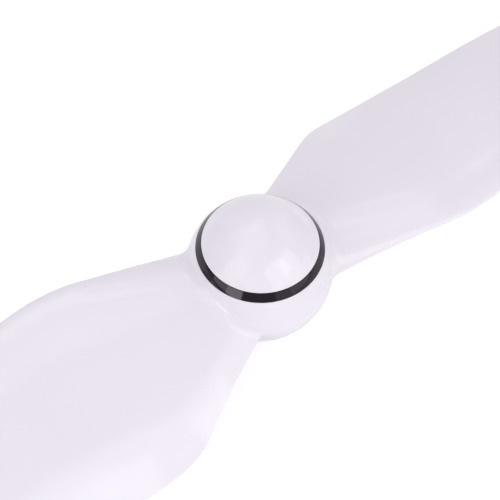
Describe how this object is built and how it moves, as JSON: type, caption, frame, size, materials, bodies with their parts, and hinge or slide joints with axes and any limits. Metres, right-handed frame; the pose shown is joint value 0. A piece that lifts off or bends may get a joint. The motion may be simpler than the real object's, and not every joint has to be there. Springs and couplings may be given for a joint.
{
  "type": "propeller",
  "caption": "Screw-on quadcopter propeller: twisted white blades on a ball-shaped hub with a black colour ring, a domed cap and a threaded metal insert.",
  "frame": {"origin": "on the spin axis, in the plane of the hub's foot, where the propeller seats on the motor", "axes": "+Z is the spin axis and points away from the motor; one blade lies along +X and the other along -X"},
  "size_m": [0.239, 0.0336, 0.016],
  "materials": {
    "white_plastic": "smooth moulded white nylon with a soft gloss and a faint cool tint",
    "cap_plastic": "polished white plastic, glossier than the blades",
    "black_plastic": "glossy black, with sharp reflections",
    "insert_aluminium": "turned, bare aluminium"
  },
  "bodies": {
    "root": {"blade_pair": "white_plastic", "threaded_insert": "insert_aluminium", "colour_ring": "black_plastic", "dome_cap": "cap_plastic"}
  },
  "joints": []
}
